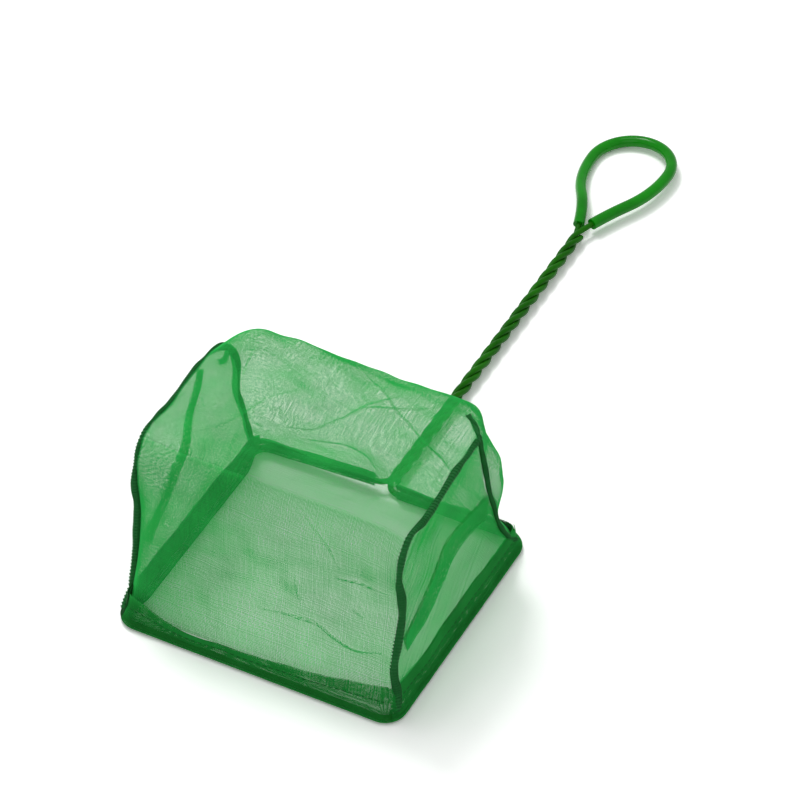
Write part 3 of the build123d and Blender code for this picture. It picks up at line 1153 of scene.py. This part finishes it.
@dataclass(frozen=True)
class SideSewing:
    """What is sewn on one side of the bag, in millimetres.

    The tuck's rows give y, z and its width. The girths give shares along the seam and its core's radius. The
    bow is how far the seam's front run stands off its line. The feet lead from the frame to the seam's ends.
    """

    side: Side
    lean: float
    tuck: tuple[tuple[float, float, float], ...]
    girths: tuple[tuple[float, float], ...]
    bow: tuple[float, float, float]
    front_foot: tuple[tuple[float, float, float], ...]
    rear_foot: tuple[tuple[float, float, float], ...]
    tail: tuple[tuple[float, float, float], ...]

    @property
    def label(self) -> str:
        """The side's name in the pieces' names."""
        return self.side.name.lower()


SIDES = (
    SideSewing(
        Side.LEFT,
        lean=-2.4,
        tuck=(
            (76.0, 78.0, 5.0), (65.0, 63.6, 7.0), (52.6, 49.2, 9.0),
            (38.0, 36.6, 11.0), (24.0, 25.5, 12.0),
        ),
        girths=((0.0, 1.5), (0.25, 1.4), (0.34, 0.85), (0.6, 0.8), (0.7, 1.6), (0.85, 1.45), (1.0, 1.2)),
        bow=(-0.6, -1.6, 0.3),
        front_foot=((-62.6, 3.2, 5.0), (-62.7, 6.4, 7.6)),
        rear_foot=((-62.6, 113.6, 5.0), (-62.7, 112.3, 8.2)),
        tail=((-64.6, 99.6, 70.6), (-65.3, 98.2, 67.4), (-65.7, 95.8, 66.6), (-65.6, 93.2, 68.0)),
    ),
    SideSewing(
        Side.RIGHT,
        lean=-3.8,
        tuck=(
            (90.0, 43.0, 12.0), (75.0, 46.0, 12.0), (60.0, 44.5, 13.0),
            (46.0, 39.0, 13.0), (31.0, 33.5, 11.0), (16.0, 30.5, 8.0),
        ),
        girths=((0.0, 1.5), (0.2, 1.5), (0.3, 1.25), (0.6, 1.15), (0.66, 0.95), (0.72, 0.8), (1.0, 0.8)),
        bow=(0.0, 0.0, 0.0),
        front_foot=((62.4, 4.2, 3.6), (62.2, 5.8, 7.4)),
        rear_foot=((62.4, 113.6, 5.0), (62.2, 110.6, 8.0)),
        tail=((58.6, 84.0, 85.0), (56.2, 86.2, 87.4), (53.4, 88.4, 89.0), (50.6, 90.0, 90.0)),
    ),
)


@dataclass
class NetBag:
    """The mesh bag: three panels of one strip, two gussets with their tucks, the seams and the thread tails.

    The bow range gives t where a seam starts to stand off its line, where it does so fully, and back again.
    """

    net: bpy.types.Material
    thread: bpy.types.Material
    bow_range: tuple[float, float, float, float] = (0.0, 0.15, 0.55, 0.85)
    tail_ends: int = 8
    tail_r: float = 0.62
    tail_taper: float = 0.3
    tail_wander: float = 0.5
    tail_seed: int = 3

    @property
    def keep(self) -> float:
        """The share of its height that the bag keeps when its floor is right down."""
        return 1 - FLOOR_DROP / (BAG_TOP - BAG_FOOT)

    def hang(self, piece: bpy.types.Object, *nodes: str) -> bpy.types.Object:
        """Let a piece of the bag stand on the rim.

        Args:
            piece: The finished piece.
            nodes: The CAD nodes that it stands for.

        Returns:
            The piece.
        """
        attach(piece, Body.RIM.value)
        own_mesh(piece)
        if nodes:
            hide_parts(*nodes)
        return piece

    def panels(self) -> list[bpy.types.Object]:
        """Knit the strip's three panels.

        Returns:
            The pieces.
        """
        rear_hems = ["back_left_hem", "back_right_hem"]
        plans = (
            (NetPanel("net_front", (0.0, 1.0), FRONT_CREASES), FRONT_WEAVE, "front_wall", ["front_hem"]),
            (NetPanel("net_floor", (1.0, 2.0), FLOOR_CREASES), FLOOR_WEAVE, "bag_floor", ["net_front"]),
            (NetPanel("net_back", (2.0, SEAM_END), BACK_CREASES), BACK_WEAVE, "back_wall", rear_hems),
        )
        made = []
        for panel, weave, node, below in plans:
            work = ThreadWork(panel.name)
            flat = panel.knit(work, weave, columns=round(STRIP_WIDE / weave.pitch))
            panel.gather(work, GATHER_WEAVE)
            piece = self.hang(work.make(self.net), node)
            made.append(piece)
        return made

    def gussets(self) -> list[bpy.types.Object]:
        """Knit the side panels and their tucks.

        Returns:
            The pieces.
        """
        made = []
        for sewing in SIDES:
            label = sewing.label
            gusset = Gusset(sewing.side, sewing.lean)
            work = ThreadWork("net_gusset_" + label)
            gusset.knit(work)
            panel = self.hang(work.make(self.net), label + "_gusset")
            wide, high = np.ptp(gusset.outline(), axis=0) * MM
            gusset.area()
            work = ThreadWork("net_tuck_" + label)
            flat = Pleat(gusset, sewing.tuck).knit(work, PLEAT_WEAVE)
            tuck = self.hang(work.make(self.net))
            made += [panel, tuck]
        return made

    def seams(self) -> list[bpy.types.Object]:
        """Wind the two side seams and their feet on the frame.

        Returns:
            The pieces.
        """
        made = []
        t = np.linspace(0, SEAM_END, 900)
        bow = np.interp(t, self.bow_range, (0.0, 1.0, 1.0, 0.0))[:, None]
        for sewing in SIDES:
            label, line = sewing.label, SEAMS[sewing.side]
            rope = RopeSeam(label + "_rope_seam", sewing.girths)
            work = ThreadWork(rope.name, sides=ROPE_SIDES)
            rope.wind(work, to_frame(line.at(t) + bow * np.array(sewing.bow)))
            nodes = [f"{label}_{run}_seam" for run in ("front", "floor", "back")]
            made.append(self.hang(work.make(self.thread), *nodes))
            for end, foot, place in (("front", sewing.front_foot, 0.0), ("back", sewing.rear_foot, SEAM_END)):
                corners = np.array([*foot, line.at(np.array(place))])
                path = hermite(np.array([0.0, 0.5, 1.0]), corners, np.linspace(0, 1, 60))
                work = ThreadWork(f"{label}_{end}_seam_foot", sides=ROPE_SIDES)
                rope.wind(work, to_frame(path), place / SEAM_END, place / SEAM_END)
                made.append(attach(work.make(self.thread), Body.RIM.value))
        return made

    def tails(self) -> list[bpy.types.Object]:
        """Leave the seams' loose thread ends, which ride on the bag floor.

        Returns:
            The pieces.
        """
        made = []
        rng = np.random.default_rng(self.tail_seed)
        fine = np.linspace(0, 1, 24)
        radius = self.tail_r * MM * (1 - self.tail_taper * fine ** 6)
        off = np.array([1.0, 0.3, 0.2])
        for sewing in SIDES:
            work = ThreadWork(sewing.label + "_thread_tail", sides=ROPE_SIDES)
            line = to_frame(np.array(sewing.tail))
            knots = np.linspace(0, 1, len(line))
            for _ in range(self.tail_ends):
                wander = rng.normal(0, self.tail_wander * MM, line.shape)
                work.lay(hermite(knots, line + wander, fine), off, radius)
            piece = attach(work.make(self.thread), Body.BAG_FLOOR.value)
            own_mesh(piece)
            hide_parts(sewing.label + "_seam_tail")
            made.append(piece)
        return made


@dataclass
class HemSet:
    """The five hem casings with their lockstitches, in millimetres and radians.

    The roots are the wire's heights where the shaft leaves the frame, left and right. The crowding is how many
    times more threads run along a casing than the pitch of its weave gives.
    """

    cloth: bpy.types.Material
    shaded: bpy.types.Material
    thread: bpy.types.Material
    depth: float = 117.8
    half: float = 63.5
    level: float = 1.95
    root_left: float = 5.71
    root_right: float = 1.84
    front_lean: float = 0.2275
    side_lean: float = 0.165
    rear_lean: float = 0.2397
    crowding: float = 1.4
    stitch_sides: int = 5

    def plans(self) -> list[Hem]:
        """List the casings.

        Returns:
            The five hems.
        """
        half, depth, level = self.half, self.depth, self.level
        x, y = half - CORNER, depth - CORNER
        left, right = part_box("back_left_hem")[1].x / MM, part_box("back_right_hem")[0].x / MM
        slope, rise = (self.root_left - level) / half, (self.root_right - level) / half
        root = (0.0, HALF_CORNER)
        front_tops = (
            (0.0, 14.5), (0.06, 13.0), (0.13, 9.5), (0.22, 7.4), (0.42, 7.6),
            (0.62, 9.4), (0.82, 13.0), (0.93, 15.4), (1.0, 16.0),
        )
        return [
            Hem("front_hem", (-x, 0, level), (x, 0, level), (0, -1, 0), self.front_lean, front_tops),
            Hem(
                "left_hem", (-half, CORNER, level), (-half, y, level), (-1, 0, 0), self.side_lean,
                ((0.0, 14.0), (0.12, 14.0), (0.6, 13.6), (1.0, 11.0)), slack=1.5,
            ),
            Hem(
                "right_hem", (half, CORNER, level), (half, y, level), (1, 0, 0), self.side_lean,
                ((0.0, 16.0), (0.12, 14.0), (0.6, 13.8), (1.0, 12.5)), slack=0.4,
            ),
            Hem(
                "back_left_hem", (left, depth, level + slope * (half + left)),
                (-x, depth, level + slope * CORNER), (0, 1, 0), self.rear_lean,
                ((0.0, 10.4), (0.4, 9.8), (0.7, 8.2), (1.0, 8.6)), root,
            ),
            Hem(
                "back_right_hem", (right, depth, level + rise * (half - right)),
                (x, depth, level + rise * CORNER), (0, 1, 0), self.rear_lean,
                ((0.0, 9.2), (0.3, 8.4), (0.65, 9.6), (0.85, 10.8), (1.0, 10.8)), root,
            ),
        ]

    def build(self) -> list[bpy.types.Object]:
        """Knit the casings and sew them.

        Returns:
            The pieces.
        """
        made = []
        for hem in self.plans():
            work = ThreadWork(hem.name + "_cloth")
            columns = round(self.crowding * hem.size()[0] / HEM_WEAVE.pitch)
            flat = hem.knit(work, HEM_WEAVE, columns=columns)
            # Rear and left casings take the darker copy of the hem cloth, which is painted shade.
            colour_or_painted_shade = self.shaded if "back" in hem.name or "left" in hem.name else self.cloth
            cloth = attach(work.make(colour_or_painted_shade), Body.RIM.value)
            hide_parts(hem.name)
            work = ThreadWork(hem.name + "_lockstitch", sides=self.stitch_sides)
            hem.stitches(work)
            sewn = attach(work.make(self.thread), Body.RIM.value)
            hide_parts(hem.name + "_stitches")
            made += [cloth, sewn]
        return made


@dataclass
class WireWork:
    """The coated wire and the vinyl sleeve, which keep their CAD shapes."""

    coat: bpy.types.Material
    sleeve: bpy.types.Material
    wires: tuple[str, ...] = (
        "mouth_frame_left", "mouth_frame_right",
        "twist_strand_left", "twist_strand_right", "twist_strand_return",
        "loop_core",
    )

    def dress(self) -> list[bpy.types.Object]:
        """Give each CAD node its finish.

        Returns:
            The pieces.
        """
        finishes = dict.fromkeys(self.wires, self.coat) | {"loop_sleeve": self.sleeve}
        made = []
        for name, material in finishes.items():
            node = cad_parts[name]
            node.data.materials.clear()
            node.data.materials.append(material)
            made.append(node)
        return made


@dataclass
class Studio:
    """A pale floor, soft light and the photograph's viewpoint.

    Lengths are in metres, the lens and the sensor in millimetres and the angles in degrees. The lamps give a
    name, a place, a size and a power.
    """

    azimuth: float = 27.416
    elevation: float = 42.71
    distance: float = 1.945133
    target: tuple[float, float, float] = (-0.02286, -0.015627, 0.0)
    lens: float = 202.5
    sensor: float = 36.0
    clip: tuple[float, float] = (0.05, 60.0)
    floor_size: float = 12.0
    floor_level: float = -0.0002
    sky: float = 0.55
    paper: float = 1.46
    lit: tuple[float, float, float] = (0.0, -0.05, 0.03)
    lamps: tuple[tuple[str, tuple[float, float, float], float, float], ...] = (
        ("key", (-0.55, 0.25, 1.65), 1.15, 8.0),
        ("fill", (0.5, -1.3, 1.3), 1.4, 4.0),
        ("glint", (-0.55, 0.35, 1.3), 0.3, 4.5),
    )

    def shown(self, tree: bpy.types.NodeTree) -> bpy.types.NodeSocket:
        """Tell the rays that show the background from those that light the object.

        Args:
            tree: The nodes of the floor or of the sky.

        Returns:
            1 for camera, glossy and transmission rays, 0 for the rest.
        """
        path = tree.nodes.new("ShaderNodeLightPath")
        held = path.outputs["Is Camera Ray"]
        for kind in ("Is Glossy Ray", "Is Transmission Ray"):
            either = tree.nodes.new("ShaderNodeMath")
            either.operation = "MAXIMUM"
            tree.links.new(held, either.inputs[0])
            tree.links.new(path.outputs[kind], either.inputs[1])
            held = either.outputs[0]
        return held

    def floor(self) -> None:
        """Lay the floor, which the camera sees as white where no shadow falls."""
        bpy.ops.mesh.primitive_grid_add(
            x_subdivisions=8, y_subdivisions=8, size=self.floor_size, location=(0, 0, self.floor_level)
        )
        ground = bpy.context.object
        ground.name = "studio_floor"
        sheet = NodeSheet("studio_paper")
        shade = sheet.noise(3.0, detail=2.0)
        colour = sheet.ramp(shade, [(0.0, (0.93, 0.93, 0.93)), (1.0, (0.95, 0.95, 0.95))])
        bright = sheet.add("VectorMath", operation="SCALE")
        sheet.link(colour, bright.inputs["Vector"])
        sheet.link(sheet.stretch(self.shown(sheet.tree), 1.0, self.paper), bright.inputs["Scale"])
        diffuse = sheet.add("BsdfDiffuse")
        sheet.link(bright.outputs["Vector"], diffuse.inputs["Color"])
        sheet.link(diffuse.outputs["BSDF"], sheet.output.inputs["Surface"])
        ground.data.materials.append(sheet.material)

    def lights(self) -> None:
        """Hang a broad key light behind on the left, a fill in front and a small lamp for glints."""
        for name, place, size, power in self.lamps:
            lamp = bpy.data.lights.new(name, "AREA")
            lamp.shape, lamp.size, lamp.energy = "DISK", size, power
            holder = bpy.data.objects.new(name, lamp)
            bpy.context.scene.collection.objects.link(holder)
            holder.location = place
            holder.rotation_euler = (Vector(self.lit) - Vector(place)).to_track_quat("-Z", "Y").to_euler()

    def daylight(self) -> None:
        """Spread an even sky, which the camera sees as white."""
        world = bpy.data.worlds.new("studio_sky")
        bpy.context.scene.world = world
        world.use_nodes = True
        tree = world.node_tree
        tree.nodes.clear()
        level = tree.nodes.new("ShaderNodeMapRange")
        level.inputs["To Min"].default_value = self.sky
        level.inputs["To Max"].default_value = 1.0
        sky = tree.nodes.new("ShaderNodeBackground")
        out = tree.nodes.new("ShaderNodeOutputWorld")
        tree.links.new(self.shown(tree), level.inputs["Value"])
        tree.links.new(level.outputs["Result"], sky.inputs["Strength"])
        tree.links.new(sky.outputs["Background"], out.inputs["Surface"])

    def camera(self) -> None:
        """Set the camera where the photograph was taken from."""
        a, e = math.radians(self.azimuth), math.radians(self.elevation)
        back = Vector((math.sin(a) * math.cos(e), -math.cos(a) * math.cos(e), math.sin(e)))
        data = bpy.data.cameras.new("viewpoint")
        data.lens, data.sensor_width = self.lens, self.sensor
        data.clip_start, data.clip_end = self.clip
        holder = bpy.data.objects.new("viewpoint", data)
        bpy.context.scene.collection.objects.link(holder)
        holder.location = Vector(self.target) + back * self.distance
        holder.rotation_euler = (-back).to_track_quat("-Z", "Y").to_euler()
        bpy.context.scene.camera = holder
        bpy.context.scene.view_settings.view_transform = "Standard"


def main() -> None:
    """Build the net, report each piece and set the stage."""
    logging.basicConfig(level=logging.INFO, format="%(name)s: %(message)s")
    thread = SEWING.material()
    wires = WireWork(PVC.material(), VINYL.material())
    hems = HemSet(HEM.material(), PAINTED_SHADE_HEM.material(), thread)
    bag = NetBag(NET.material(), thread)
    for build in (wires.dress, hems.build, bag.panels, bag.gussets, bag.seams, bag.tails):
        for piece in build():
            LOG.info("%s is done, with %d faces", piece.name, len(piece.data.polygons))
    studio = Studio()
    for set_up in (studio.floor, studio.lights, studio.daylight, studio.camera):
        set_up()


if __name__ == "__main__":
    main()
